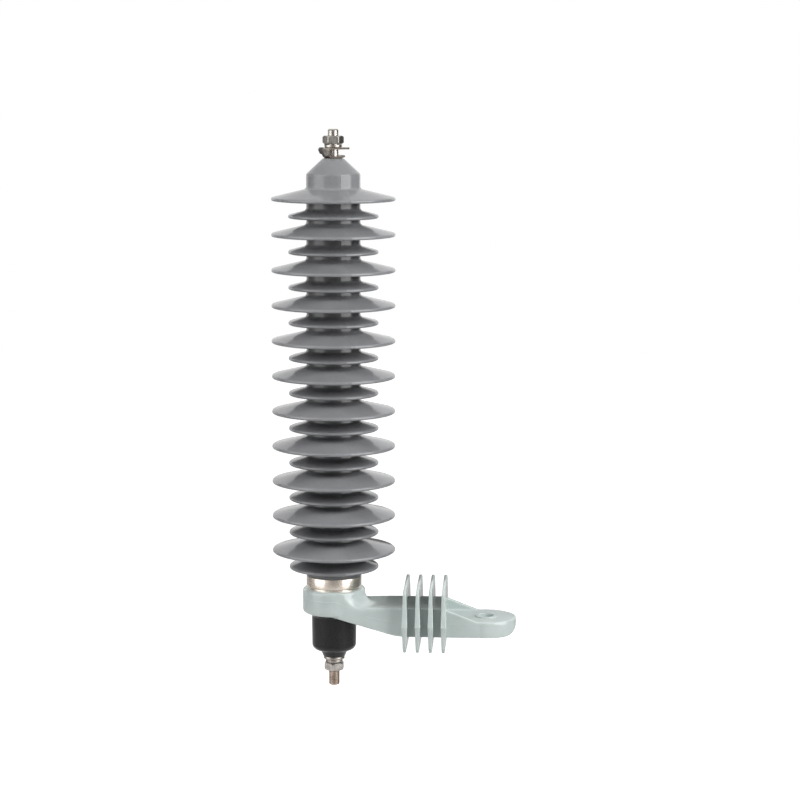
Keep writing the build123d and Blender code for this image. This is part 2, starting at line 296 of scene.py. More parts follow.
def bevel_along(piece, axis, offset, segments):
    """Rounds the edges that run along an axis, 0 for x and 2 for z."""
    edit(piece, "EDGE")
    ends = piece.data.vertices
    choose(piece, "edges",
           lambda e: abs(ends[e.vertices[0]].co[axis] - ends[e.vertices[1]].co[axis]) > MM)
    bpy.ops.mesh.bevel(offset=offset, segments=segments, affect="EDGES")
    leave()


def lathe(name, points, corners=(), steps=ROUND, centre=AXIS):
    """Spins a closed (radius, height) outline about an upright axis."""
    piece = chain(name, [(centre.x + r, z) for r, z in [*points, points[0]]], centre.y)
    round_off(piece, [(centre.x + r, z, run) for r, z, run in corners])
    weld(piece)
    bpy.ops.mesh.spin(steps=steps, angle=2 * pi, center=centre, axis=(0, 0, 1))
    leave()
    return clean(piece)


def slab(name, points, corners, low, high):
    """A closed (x, z) outline, filled and given its width from one y to another."""
    piece = chain(name, [*points, points[0]], low)
    round_off(piece, corners)
    weld(piece)
    bpy.ops.mesh.edge_face_add()
    bpy.ops.mesh.extrude_region_move(TRANSFORM_OT_translate={"value": (0, high - low, 0)})
    leave()
    return clean(piece)


def ridge(piece, test, spot, normal, half_width, height):
    """A fine ridge where a plane meets the chosen faces: a mould's parting line."""
    normal = Vector(normal).normalized()
    edit(piece)
    for offset in (-half_width, half_width, 0.0):
        choose(piece, "polygons", test)
        bpy.ops.mesh.bisect(plane_co=Vector(spot) + normal * offset, plane_no=normal)
    bpy.ops.transform.shrink_fatten(value=height)
    leave()


def finish_piece(piece, material, slot, *nodes):
    """Gives a piece its material, its body and the nodes it stands for."""
    piece.data.materials.clear()
    piece.data.materials.append(material)
    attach(piece, BODY)
    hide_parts(*nodes)


# ---- materials -------------------------------------------------------------------------
# Sockets of a Mix node: the factor, two numbers, two colours, and the colour it gives.
FACTOR, NUMBER_A, NUMBER_B, COLOUR_A, COLOUR_B, COLOUR_OUT = 0, 2, 3, 6, 7, 2
NOISE_SPAN = {"From Min": 0.35, "From Max": 0.65}   # most of a noise lies in it
GRAIN_SHARE = 0.35          # how much of the tint follows the grain, and not the clouds


def linear(hex_colour):
    """sRGB hex to linear RGBA."""
    parts = [int(hex_colour.lstrip("#")[i:i + 2], 16) / 255 for i in (0, 2, 4)]
    return tuple(c / 12.92 if c <= 0.04045 else ((c + 0.055) / 1.055) ** 2.4 for c in parts) + (1,)


def add(tree, kind, settings=None, links=None):
    """One node with its settings and its incoming links."""
    node = tree.nodes.new(kind)
    for key, value in (settings or {}).items():
        if isinstance(key, str) and hasattr(node, key):
            setattr(node, key, value)
        else:
            node.inputs[key].default_value = value
    for key, source in (links or {}).items():
        tree.links.new(source, node.inputs[key])
    return node


def blank_tree(owner):
    """The emptied node tree of a material or a world."""
    owner.use_nodes = True
    owner.node_tree.nodes.clear()
    return owner.node_tree


def surface(name, colours, rough, cloud_size, grain_size, grain_depth, stretch=(1, 1, 1), metallic=0.0,
            ior=None):
    """A finish with two shades in clouds, and a finer grain that turns up in gloss and bump.

    Rough is (lowest, highest). The stretch draws the grain out along an axis, as rolling,
    drawing and turning do."""
    material = bpy.data.materials.new(name)
    tree = blank_tree(material)
    place = add(tree, "ShaderNodeTexCoord").outputs["Object"]
    drawn_out = add(tree, "ShaderNodeMapping", {"Location": -AXIS, "Scale": stretch}, {"Vector": place})
    cloud = add(tree, "ShaderNodeTexNoise", {"Scale": 1 / cloud_size, "Detail": 4.0}, {"Vector": place})
    grain = add(tree, "ShaderNodeTexNoise", {"Scale": 1 / grain_size, "Detail": 3.0},
                {"Vector": drawn_out.outputs[0]})
    both = add(tree, "ShaderNodeMix", {"data_type": "FLOAT", FACTOR: GRAIN_SHARE},
               {NUMBER_A: cloud.outputs["Fac"], NUMBER_B: grain.outputs["Fac"]})
    spread = add(tree, "ShaderNodeMapRange", NOISE_SPAN, {"Value": both.outputs[0]})
    shades = {COLOUR_A: linear(colours[0]), COLOUR_B: linear(colours[1])}
    tint = add(tree, "ShaderNodeMix", {"data_type": "RGBA", **shades}, {FACTOR: spread.outputs[0]})
    gloss = add(tree, "ShaderNodeMapRange", {**NOISE_SPAN, "To Min": rough[0], "To Max": rough[1]},
                {"Value": grain.outputs["Fac"]})
    bump = add(tree, "ShaderNodeBump", {"Strength": 0.5, "Distance": grain_depth},
               {"Height": grain.outputs["Fac"]})
    shader = add(tree, "ShaderNodeBsdfPrincipled", {"Metallic": metallic}, {
        "Base Color": tint.outputs[COLOUR_OUT], "Roughness": gloss.outputs[0],
        "Normal": bump.outputs["Normal"]})
    if ior:
        shader.inputs["IOR"].default_value = ior
    add(tree, "ShaderNodeOutputMaterial", links={"Surface": shader.outputs["BSDF"]})
    return material


def silicone_rubber():
    # Filled silicone rubber, injection moulded in a polished mould: an even grey whose skin
    # mirrors its neighbours softly, brightest at a flat angle.
    return surface("silicone_rubber_moulded", (looks().silicone_dark, looks().silicone_light),
                   rough=(0.13, 0.19), cloud_size=30 * MM, grain_size=1.2 * MM, grain_depth=0.01 * MM,
                   ior=1.43)


def polyester_compound():
    # Glass-filled polyester moulding compound, pressed in a polished steel mould: pale
    # grey-green, glossy, with faint clouds of fibre and a slight ripple in its reflections.
    return surface("polyester_compound_moulded", (looks().bracket_shade, looks().bracket_light),
                   rough=(0.07, 0.13), cloud_size=40 * MM, grain_size=14 * MM, grain_depth=0.02 * MM,
                   ior=1.54)


def black_moulding():
    # Carbon-filled thermoset, moulded: near black with a satin skin.
    return surface("black_thermoset_moulded", (looks().black_dark, looks().black_light),
                   rough=(0.27, 0.35), cloud_size=9 * MM, grain_size=0.9 * MM, grain_depth=0.01 * MM,
                   ior=1.34)


def turned_aluminium():
    # Aluminium alloy, turned: warm pale metal, its tool rings drawn as fine level lines.
    return surface("aluminium_turned", ("#CBBFB3", "#E8DDD2"), rough=(0.24, 0.28), cloud_size=12 * MM,
                   grain_size=12 * MM, grain_depth=0.004 * MM, stretch=(0.4, 0.4, 10), metallic=1.0)


def drawn_steel():
    # Stainless steel, cold drawn and machined: bright, a little warm, with fine upright lines.
    return surface("stainless_steel_drawn", ("#9C9792", "#C6C1BB"), rough=(0.14, 0.26), cloud_size=4 * MM,
                   grain_size=6 * MM, grain_depth=0.015 * MM, stretch=(12, 12, 0.6), metallic=1.0)


def sheet_steel():
    # Stainless steel strip, rolled, then punched and folded: soft gloss with rub marks.
    return surface("stainless_steel_rolled", ("#87817A", "#AFAAA3"), rough=(0.22, 0.36), cloud_size=5 * MM,
                   grain_size=5 * MM, grain_depth=0.03 * MM, stretch=(1, 6, 6), metallic=1.0)


def plain_steel():
    # Steel rod with a rolled thread, unpolished: brownish grey and a little dull.
    return surface("steel_thread_rolled", ("#93857A", "#BDAC9F"), rough=(0.22, 0.36), cloud_size=4 * MM,
                   grain_size=6 * MM, grain_depth=0.015 * MM, stretch=(12, 12, 0.6), metallic=1.0)


def sheared_steel_and_shade():
    # The strip's cut edges, torn by the shear, so rough and brownish, and darker still as painted shade; the
    # same dark finish paints shade on the far end of the web's back.
    return surface("stainless_steel_sheared", ("#3C3834", "#645D57"), rough=(0.45, 0.65),
                   cloud_size=3 * MM, grain_size=1.5 * MM, grain_depth=0.06 * MM, metallic=1.0)


def sintered_oxide():
    # Zinc oxide, pressed and sintered: dark, matt and finely speckled.
    return surface("zinc_oxide_sintered", ("#2F3134", "#4A4D52"), rough=(0.55, 0.75), cloud_size=6 * MM,
                   grain_size=0.5 * MM, grain_depth=0.03 * MM)


def dark_dull_aluminium():
    # Aluminium alloy, coloured dark and dull, so that its thin rim between the clamp's foot and the cap reads
    # dark.
    return surface("aluminium_sawn", ("#4C4945", "#6A6560"), rough=(0.5, 0.7), cloud_size=5 * MM,
                   grain_size=2 * MM, grain_depth=0.03 * MM, metallic=1.0)


def wound_fibre():
    # Glass fibre in epoxy resin, wound: straw-coloured, with bands of roving.
    return surface("glass_fibre_wound", ("#9C9866", "#C3BE8E"), rough=(0.25, 0.45), cloud_size=20 * MM,
                   grain_size=8 * MM, grain_depth=0.05 * MM, stretch=(1, 1, 7))


def turned_brass():
    # Brass, turned: yellow with fine level lines.
    return surface("brass_turned", ("#B08D45", "#D3B26A"), rough=(0.2, 0.35), cloud_size=6 * MM,
                   grain_size=8 * MM, grain_depth=0.02 * MM, stretch=(0.5, 0.5, 20), metallic=1.0)


def fired_ceramic():
    # Carbon-filled ceramic, pressed and fired: matt black with a coarse grain.
    return surface("carbon_ceramic_fired", ("#1F1D1C", "#363230"), rough=(0.6, 0.8), cloud_size=4 * MM,
                   grain_size=0.7 * MM, grain_depth=0.05 * MM)


# ---- housing ---------------------------------------------------------------------------
HOUSING_STEPS = 120         # three degrees each, so that the seam falls on one
SEAM_ANGLE = radians(-69)   # of the mould's parting plane, from +X
SEAM_HALF_WIDTH = 0.25 * MM
FOOT_HEIGHT, FOOT_STEP = 5.5 * MM, 0.8 * MM     # of the ring under the lowest shed
BORE = radius(TUBE) + 0.05 * MM
BORE_END, BORE_SLOPE = 13 * MM, 5 * MM  # below the top electrode's end, and the slope to the neck
NECK, CAP_RADIUS = 8.25 * MM, 9.7 * MM
SHED_UNDER_ROUND, SHED_ROOT_ROUND = 1.2 * MM, 2.4 * MM
TIP_ROUND = 0.95            # of half the tip's thickness


class ARRESTER_OT_housing(bpy.types.Operator):
    """Spin the silicone housing with its rounded sheds and its cap"""

    bl_idname = "arrester.housing"
    bl_label = "Housing"

    def execute(self, context):
        s = sizes()
        core, base, top = s.core_radius, HOUSING[LOW].z, HOUSING[HIGH].z
        foot_top = base + FOOT_HEIGHT
        first = foot_top + FOOT_STEP
        last = first + s.shed_pairs * s.pair_pitch
        sheds = self.shed_pair(s, base + s.foot_collar, first)
        row(sheds, s.shed_pairs, (0, 0, s.pair_pitch), use_merge_vertices=True, merge_threshold=COPY_WELD)
        foot, shoulder, inner_top = core + FOOT_STEP, top - s.cap_height, TOP_ELECTRODE[HIGH].z - BORE_END
        rest = [(core, first), (foot, foot_top), (foot, base), (BORE, base), (BORE, inner_top - BORE_SLOPE),
                (NECK, inner_top), (NECK, top), (CAP_RADIUS, top), (core, shoulder), (core, last)]
        ends = chain("ends", [(AXIS_X + r, z) for r, z in rest])
        round_off(ends, [(AXIS_X + foot, foot_top, 0.4 * MM), (AXIS_X + foot, base, 0.3 * MM),
                         (AXIS_X + CAP_RADIUS, top, 0.4 * MM), (AXIS_X + core, shoulder, 1.2 * MM)])
        piece = join(sheds, ends)
        piece.name = "silicone_housing"
        weld(piece, COPY_WELD)
        bpy.ops.mesh.spin(steps=HOUSING_STEPS, angle=2 * pi, center=AXIS, axis=(0, 0, 1))
        leave()
        clean(piece)
        across = (-sin(SEAM_ANGLE), cos(SEAM_ANGLE), 0)
        inside = BORE + 1 * MM
        ridge(piece, lambda f: (f.center - AXIS).xy.length > inside, AXIS, across, SEAM_HALF_WIDTH,
              s.seam_height)
        smooth(piece, degrees=35)
        finish_piece(piece, silicone_rubber(), "silicone_rubber", "housing")
        return {"FINISHED"}

    def shed_pair(self, s, tip, bottom):
        """Outline of a small and a large shed, from the core's lower end to its upper end."""
        half, core = s.tip_thickness / 2, AXIS_X + s.core_radius
        points, corners = [(core, bottom)], []
        for height, reach, rise in ((tip, s.small_radius, s.small_rise),
                                    (tip + s.small_offset, radius(HOUSING), s.large_rise)):
            edge, low, high, root = AXIS_X + reach, height - half, height + half, height + half + rise
            points += [(core, low), (edge, low), (edge, high), (core, root)]
            corners += [(core, low, SHED_UNDER_ROUND), (edge, low, TIP_ROUND * half),
                        (edge, high, TIP_ROUND * half), (core, root, SHED_ROOT_ROUND)]
        points.append((core, bottom + s.pair_pitch))
        return round_off(chain("sheds", points), corners)


# ---- bracket ---------------------------------------------------------------------------
ARM_DROP = 17.4 * MM        # the boss's foot, above the pad's underside
ARM_SLOPE_END = 60.0 * MM   # length over which the underside drops to the pad's level
ARM_SLOPE_BLEND = 60.0 * MM     # radius of the curve between that slope and the pad
PAD_EDGE = 9.0 * MM
BOSS_RIM = 2.5 * MM
FLARE_INSIDE, FLARE_UNDER = 6 * MM, 2 * MM      # how far the flare reaches into boss and arm
STUD_HOLE = 6.0 * MM
SPOT_FACE = radius(COVER) + 1.2 * MM
MOUNT_HOLE, MOUNT_RING, MOUNT_RING_HEIGHT = 7.25 * MM, 10.25 * MM, 0.8 * MM
DRILL_TOP = 30 * MM         # well above the pad
EYE_FOOT, EYE_SINK = 0.2 * MM, 1 * MM   # lower end of the eye, and how deep it sits in the pad
GUSSET_WIDTH, GUSSET_LENGTH = 5.5 * MM, 31.0 * MM
GUSSET_SINK = 1 * MM        # into the arm and the pad
FIN_COUNT = 4
LAST_FIN = -38.5 * MM
FIN_MIDDLE, FIN_TIP = 5.1 * MM, 2.9 * MM
FIN_CORNER, FIN_CORNER_STEPS, FIN_EDGE = 6.0 * MM, 7, 0.7 * MM
PARTING = 12.0 * MM         # level of the mould's parting line at the fins and the pad
# The parting line as (x, z) in millimetres: level round the boss, down the arm, level again.
PARTING_LINE = ((-171, 31.6), (-138, 31.6), (-107, 17.5), (-76, 12.0), (29, 12.0))
LINE_HALF_WIDTH, LINE_HEIGHT = 0.3 * MM, 0.12 * MM
LINE_REACH, LINE_LEAN = 12 * MM, 0.6    # faces that take it: this near, and this upright
GRAIN = 0.75 * MM           # mesh size of the moulded body
SMOOTHING = 0.5
ARM_TURNS = ((0.0, 10), (8 * MM, 14), (16 * MM, 14))    # each ends sooner, so the round fades out


class ARRESTER_OT_bracket(bpy.types.Operator):
    """Build the moulded bracket: arm and pad, flared boss, gussets and finned plates"""

    bl_idname = "arrester.bracket"
    bl_label = "Bracket"

    def execute(self, context):
        s = sizes()
        body = self.arm(s)
        for part in (*self.gussets(s), self.flare(s), self.boss(s)):
            boolean(body, part, "UNION")
        boolean(body, drum("spot_face", SPOT_FACE, -PAST, ARM_DROP), "DIFFERENCE")
        modify(body, "REMESH", mode="VOXEL", voxel_size=GRAIN)
        self.soften(body, s)
        self.parting_line(body, s)
        boolean(body, self.fins(s), "UNION")
        hole = drum("hole", (MOUNT_HOLE + MOUNT_RING) / 2, -PAST, DRILL_TOP, ORIGIN)
        boolean(body, hole, "DIFFERENCE")
        boolean(body, drum("stud_hole", STUD_HOLE, 0, BRACKET[HIGH].z), "DIFFERENCE")
        boolean(body, self.eye(s), "UNION")
        body.name = "moulded_bracket"
        clean(body)
        smooth(body, degrees=40)
        finish_piece(body, polyester_compound(), "moulded_insulator", "bracket")
        return {"FINISHED"}

    def arm(self, s):
        """Arm and pad: the side outline, kept where the plan has material."""
        start, bend = AXIS_X, AXIS_X + ARM_SLOPE_END
        blend = ARM_SLOPE_BLEND * tan(atan2(ARM_DROP, ARM_SLOPE_END) / 2)
        points = [(start, s.arm_top), (start, ARM_DROP), (bend, 0), (s.pad_radius, 0),
                  (s.pad_radius, s.pad_thickness), (LAST_FIN, s.pad_thickness), (LAST_FIN, s.arm_top)]
        side = slab("arm", points, [(bend, 0, blend), (s.pad_radius, 0, PAD_EDGE)],
                    -s.pad_radius - PAST, s.pad_radius + PAST)
        plan = block("plan", (start, -s.arm_half_width, -PAST), (0, s.arm_half_width, s.arm_top + PAST))
        end = drum("pad", s.pad_radius, -PAST, s.arm_top + PAST, ORIGIN, LARGE_ROUND)
        return boolean(side, boolean(plan, end, "UNION"), "INTERSECT")

    def boss(self, s):
        """Round boss with both rims rounded."""
        low, high, reach = ARM_DROP, ELECTRODE[LOW].z, s.boss_radius
        return lathe("boss", [(0, low), (reach, low), (reach, high), (0, high)],
                     [(reach, low, BOSS_RIM), (reach, high, BOSS_RIM)], LARGE_ROUND)

    def flare(self, s):
        """Hollow curve from the boss down into the arm's top, kept to the arm's width."""
        inner, reach, rise = s.boss_radius - FLARE_INSIDE, s.boss_radius, s.boss_flare
        low, level = s.arm_top - FLARE_UNDER, s.arm_top
        ring = lathe("flare", [(inner, low), (reach + rise, low), (reach + rise, level), (reach, level),
                     (reach, level + rise), (inner, level + rise)], [(reach, level, rise - 0.05 * MM)],
                     LARGE_ROUND)
        keep = block("keep", (AXIS_X, -s.arm_half_width, 0), (0, s.arm_half_width, 60 * MM))
        return boolean(ring, keep, "INTERSECT")

    def gussets(self, s):
        """Two thin side walls that run from the arm's top down to the pad."""
        back, front, foot = LAST_FIN - GUSSET_SINK, LAST_FIN + GUSSET_LENGTH, s.pad_thickness - GUSSET_SINK
        points = [(back, foot), (front, foot), (front, s.pad_thickness), (LAST_FIN, s.arm_top),
                  (back, s.arm_top)]
        wide = s.arm_half_width
        return (slab("gusset", points, [], -wide, GUSSET_WIDTH - wide),
                slab("gusset", points, [], wide - GUSSET_WIDTH, wide))

    def eye(self, s):
        """Lining of the mounting hole, with a low ring that stands on the pad."""
        seat, sink, top = MOUNT_RING - 1 * MM, s.pad_thickness - EYE_SINK, s.pad_thickness + MOUNT_RING_HEIGHT
        points = [(MOUNT_HOLE, EYE_FOOT), (seat, EYE_FOOT), (seat, sink), (MOUNT_RING, sink),
                  (MOUNT_RING, top), (MOUNT_HOLE, top)]
        return lathe("mounting_eye", points, [(MOUNT_RING, top, 0.4 * MM), (MOUNT_HOLE, top, 0.4 * MM)],
                     centre=ORIGIN)

    def soften(self, body, s):
        """Rounds all edges slightly, and the arm's upper edges beside the boss strongly."""
        edit(body, "VERT")
        bpy.ops.mesh.vertices_smooth(factor=SMOOTHING, repeat=2)
        near, far = AXIS_X + 4 * MM, LAST_FIN - FIN_COUNT * s.fin_pitch - 6 * MM
        low, high, beside = 20 * MM, s.arm_top + 12 * MM, s.arm_half_width - 5 * MM
        for short, times in ARM_TURNS:
            choose(body, "vertices", lambda v: near < v.co.x < far - short and low < v.co.z < high
                   and abs(v.co.y) > beside)
            bpy.ops.mesh.vertices_smooth(factor=SMOOTHING, repeat=times)
        leave()

    def parting_line(self, body, s):
        """Raises the mould's parting line round the boss, along the arm and round the pad."""
        for (x, z), (next_x, next_z) in zip(PARTING_LINE, PARTING_LINE[1:]):
            level = (z + next_z) / 2 * MM
            ridge(body, lambda f: x * MM < f.center.x < next_x * MM and abs(f.normal.z) < LINE_LEAN
                  and abs(f.center.z - level) < LINE_REACH and self.outside(f, s),
                  (x * MM, 0, z * MM), (z - next_z, 0, next_x - x), LINE_HALF_WIDTH, LINE_HEIGHT)

    def outside(self, face, s):
        """True for a face of the boss's or the arm's outer side."""
        if face.center.x < AXIS_X:
            return (face.center - AXIS).xy.length > s.boss_radius - 2 * MM
        return abs(face.center.y) > 20 * MM

    def fins(self, s):
        """Round-cornered plates, thickest at the parting line, with eased edges."""
        low, high = BRACKET[LOW], BRACKET[HIGH]
        plate = block("fin", (LAST_FIN - FIN_MIDDLE, low.y, low.z), (LAST_FIN + FIN_MIDDLE, high.y, high.z))
        bevel_along(plate, 0, FIN_CORNER, FIN_CORNER_STEPS)
        wide, thin = FIN_MIDDLE / 2, FIN_TIP / 2
        points = [(LAST_FIN - wide, PARTING), (LAST_FIN - thin, low.z), (LAST_FIN + thin, low.z),
                  (LAST_FIN + wide, PARTING), (LAST_FIN + thin, high.z), (LAST_FIN - thin, high.z)]
        boolean(plate, slab("draft", points, [], low.y - PAST, high.y + PAST), "INTERSECT")
        modify(plate, "BEVEL", width=FIN_EDGE, segments=3, limit_method="ANGLE", angle_limit=radians(35))
        ridge(plate, lambda f: True, (0, 0, PARTING), (0, 0, 1), LINE_HALF_WIDTH, LINE_HEIGHT)
        copies = [duplicate(plate, (-n * s.fin_pitch, 0, 0)) for n in range(1, FIN_COUNT)]
        return clean(join(plate, *copies))


# ---- base electrode --------------------------------------------------------------------
PLUG, GROOVE_DEPTH = 17 * MM, 1.2 * MM
PLUG_LANDS = 5              # lands and grooves in turn, all of one height
RING_STEP, RING_UNDERCUT = 0.9 * MM, 1.6 * MM


class ARRESTER_OT_base_electrode(bpy.types.Operator):
    """Spin the base electrode with its ring and its grooved plug"""

    bl_idname = "arrester.base_electrode"
    bl_label = "Base electrode"

    def execute(self, context):
        low, high, reach = ELECTRODE[LOW].z, ELECTRODE[HIGH].z, radius(ELECTRODE)
        ring_top, under = HOUSING[LOW].z, low + RING_UNDERCUT
        land = (high - ring_top) / PLUG_LANDS
        points = [(0, low), (reach - 2 * RING_STEP, low), (reach - 2 * RING_STEP, under),
                  (reach - RING_STEP, under), (reach, under + RING_STEP), (reach, ring_top),
                  (PLUG, ring_top)]
        for groove in (1, 3):
            floor = ring_top + groove * land
            points += [(PLUG, floor), (PLUG - GROOVE_DEPTH, floor), (PLUG - GROOVE_DEPTH, floor + land),
                       (PLUG, floor + land)]
        points += [(PLUG, high), (0, high)]
        corners = [(reach, ring_top, 0.4 * MM), (reach, under + RING_STEP, 0.4 * MM)]
        piece = lathe("base_electrode_turned", points, corners, LARGE_ROUND)
        smooth(piece, degrees=35)
        finish_piece(piece, turned_aluminium(), "aluminium_alloy", "base_electrode")
        return {"FINISHED"}


# ---- terminals -------------------------------------------------------------------------
CREST = 5.0 * MM            # outer radius of an M10 thread
CLEARANCE_HOLE = 5.5 * MM   # lets an M10 stud through
NUT_CHAMFER, NUT_CORNER = radians(42), 0.4 * MM
NUT_FACE_INSET = 0.2 * MM   # of a nut's round face from its flats
NUT_BORE, NUT_SINK = 4.55 * MM, 1.0 * MM
RISE_START, RISE_END, FALL_START = 0.16, 0.34, 0.82     # of the thread's flanks, in pitches
THREAD_STEPS, ROD_CHAMFER = 32, 1.0 * MM
SPARE_TURNS = 4             # cut off again at the rod's ends
CUTTER_ROUND, ENVELOPE_ROUND = 64, 120
WASHER_BORE, WASHER_LIFT, WASHER_GAP = 5.4 * MM, 0.9 * MM, radians(11)
WASHER_EDGE, WASHER_STEPS = 0.35 * MM, 88
LINE_NUT_TURN, LINE_WASHER_TURN = radians(6.0), radians(200)
GROUND_NUT_TURN, GROUND_WASHER_TURN = radians(26), radians(150)
HEAD_HEIGHT, ROD_IN_HEAD = 3.5 * MM, 2 * MM     # the rod ends this far below the head's top


def hexagon_nut(name, box, turn):
    """M10 nut: hexagon with eased corners, both faces chamfered, bore countersunk."""
    low, high, half = box[LOW].z, box[HIGH].z, sizes().nut_width / 2
    corner, face = half / cos(radians(30)), half - NUT_FACE_INSET
    drop = (corner - face) * tan(NUT_CHAMFER)
    nut = drum(name, corner, low, high, sides=6, turn=turn + pi / 6)
    bevel_along(nut, 2, NUT_CORNER, 3)
    envelope = lathe("envelope", [(0, low), (face, low), (corner, low + drop), (corner, high - drop),
                     (face, high), (0, high)], steps=ENVELOPE_ROUND)
    boolean(nut, envelope, "INTERSECT")
    wide = NUT_BORE + 2 * NUT_SINK
    cutter = lathe("bore", [(0, low - NUT_SINK), (wide, low - NUT_SINK), (NUT_BORE, low + NUT_SINK),
                   (NUT_BORE, high - NUT_SINK), (wide, high + NUT_SINK), (0, high + NUT_SINK)],
                   steps=CUTTER_ROUND)
    boolean(nut, cutter, "DIFFERENCE")
    clean(nut)
    smooth(nut, degrees=25)
    return nut


def threaded_rod(name, low, high):
    """M10 rod with a true helical thread and both ends chamfered."""
    s = sizes()
    pitch, root = s.thread_pitch, CREST - s.thread_depth
    start = low - 2 * pitch
    profile = [(root, start), (root, start + RISE_START * pitch), (CREST, start + RISE_END * pitch),
               (CREST, start + FALL_START * pitch), (root, start + pitch)]
    rod = chain(name, profile)
    turns = int((high - low) / pitch) + SPARE_TURNS
    modify(rod, "SCREW", angle=2 * pi, screw_offset=pitch, iterations=turns, steps=THREAD_STEPS,
           render_steps=THREAD_STEPS, use_merge_vertices=True, merge_threshold=WELD)
    rod.location = AXIS
    settle(rod)
    for level, up in ((low - 0.5 * pitch, -1), (high + 0.5 * pitch, 1)):
        edit(rod)
        bpy.ops.mesh.bisect(plane_co=(0, 0, level), plane_no=(0, 0, up), use_fill=True, clear_outer=True)
        leave()
    clean(rod)
    outer, inner = CREST + WELD, CREST - ROD_CHAMFER
    envelope = lathe("envelope", [(0, low), (inner, low), (outer, low + ROD_CHAMFER),
                     (outer, high - ROD_CHAMFER), (inner, high), (0, high)], steps=CUTTER_ROUND)
    boolean(rod, envelope, "INTERSECT")
    return clean(rod)


def split_washer(name, box, turn):
    """Spring washer: a square-edged wire wound through almost one turn, its ends apart."""
    low, reach, top = box[LOW].z, radius(box), box[HIGH].z - WASHER_LIFT
    points = [(WASHER_BORE, low), (reach, low), (reach, top), (WASHER_BORE, top), (WASHER_BORE, low)]
    ring = round_off(chain(name, points), [(reach, low, WASHER_EDGE), (reach, top, WASHER_EDGE),
                                           (WASHER_BORE, top, WASHER_EDGE)])
    weld(ring)
    leave()
    modify(ring, "SCREW", angle=2 * pi - WASHER_GAP, screw_offset=WASHER_LIFT, steps=WASHER_STEPS,
           render_steps=WASHER_STEPS)
    edit(ring)
    bpy.ops.mesh.fill_holes(sides=0)
    leave()
    ring.rotation_euler = (0, 0, turn)
    ring.location = AXIS
    clean(settle(ring))
    smooth(ring, degrees=35)
    return ring


STRIP, STRIP_WIDTH, STRIP_FOOT = 1.7 * MM, 19.0 * MM, 13.0 * MM
CLAMP_TURN = radians(34)    # open end turned from +X towards +Y
CLAMP_REACH, CLAMP_BACK, CLAMP_FOOT_BACK = 11.6 * MM, 10.4 * MM, 6.0 * MM
LIP_START, LIP_END, LIP = 5.5 * MM, 3.0 * MM, 0.9 * MM
TOP_BEND, FOOT_BEND, LIP_BEND = 2.7 * MM, 0.95 * MM, 0.6 * MM
WEB_STEP, WEB_TAPER = 4.6 * MM, 0.5 * MM    # from the top leg down to where the strip narrows
PAINTED_SHADE_START = 1.5 * MM       # across the web: beyond this its back is painted in shade
NOTCH_START, NOTCH_TIP, NOTCH_END = -5.2 * MM, -4.6 * MM, -4.0 * MM     # of the first notch
NOTCH_COUNT, NOTCH_PITCH, NOTCH_DEPTH = 5, 2.4 * MM, 0.5 * MM
SQUARELY, ROUGHLY = 0.9, 0.5    # cosines of a face's angle to a direction that it looks in


def folded_clamp():
    """One strip folded into two legs and a leaning web, drilled for the stud, with a notched foot."""
    low, high = LINE_CLAMP[LOW].z + STRIP / 2, LINE_CLAMP[HIGH].z - STRIP / 2
    points = [(CLAMP_REACH, high), (-CLAMP_BACK, high), (-CLAMP_FOOT_BACK, low),
              (CLAMP_REACH - LIP_START, low), (CLAMP_REACH - LIP_END, low + LIP)]
    strip = chain("line_clamp_folded", points, -STRIP_WIDTH / 2)
    round_off(strip, [(-CLAMP_BACK, high, TOP_BEND), (-CLAMP_FOOT_BACK, low, FOOT_BEND),
                      (CLAMP_REACH - LIP_START, low, LIP_BEND)])
    edit(strip, "VERT")
    bpy.ops.mesh.extrude_region_move(TRANSFORM_OT_translate={"value": (0, STRIP_WIDTH, 0)})
    step = high - WEB_STEP
    for spot, normal in (((0, 0, step), (0, 0, 1)), ((0, 0, step - WEB_TAPER), (0, 0, 1)),
                         ((0, PAINTED_SHADE_START, 0), (0, 1, 0))):
        bpy.ops.mesh.select_all(action="SELECT")
        bpy.ops.mesh.bisect(plane_co=spot, plane_no=normal)
    choose(strip, "vertices", lambda v: v.co.z < step - 0.8 * WEB_TAPER)
    bpy.ops.transform.resize(value=(1, STRIP_FOOT / STRIP_WIDTH, 1))
    leave()
    clean(strip)
    modify(strip, "SOLIDIFY", thickness=STRIP, offset=0, use_even_offset=True)
    hole = drum("hole", CLEARANCE_HOLE, low - 3 * MM, high + 3 * MM, ORIGIN, 48)
    boolean(strip, hole, "DIFFERENCE")
    modify(strip, "BEVEL", width=0.3 * MM, segments=2, limit_method="ANGLE", angle_limit=radians(50))
    under = low - STRIP / 2
    notch = slab("notches", [(NOTCH_START, under - PAST), (NOTCH_END, under - PAST),
                 (NOTCH_TIP, under + NOTCH_DEPTH)], [], -STRIP_WIDTH, STRIP_WIDTH)
    boolean(strip, row(notch, NOTCH_COUNT, (NOTCH_PITCH, 0, 0)), "DIFFERENCE")
    strip.rotation_euler = (0, 0, CLAMP_TURN)
    strip.location = AXIS
    clean(settle(strip))
    smooth(strip, degrees=35)
    return strip


def mark_sheared_and_shaded_faces(strip, material):
    """Gives the strip's long cut edges their rough, dark sheared finish, partly painted shade, and paints
    shade on the far end of its web's back.
    """
    across = Vector((-sin(CLAMP_TURN), cos(CLAMP_TURN), 0))
    open_end = Vector((cos(CLAMP_TURN), sin(CLAMP_TURN), 0))
    strip.data.materials.append(material)
    for face in strip.data.polygons:
        cut = abs(face.normal.dot(across)) > SQUARELY
        # the far end of the web's back, turned away from the open end, takes the dark finish as painted shade
        back = face.normal.dot(open_end) < -ROUGHLY and (face.center - AXIS).dot(across) > PAINTED_SHADE_START
        face.material_index = int(cut or back)


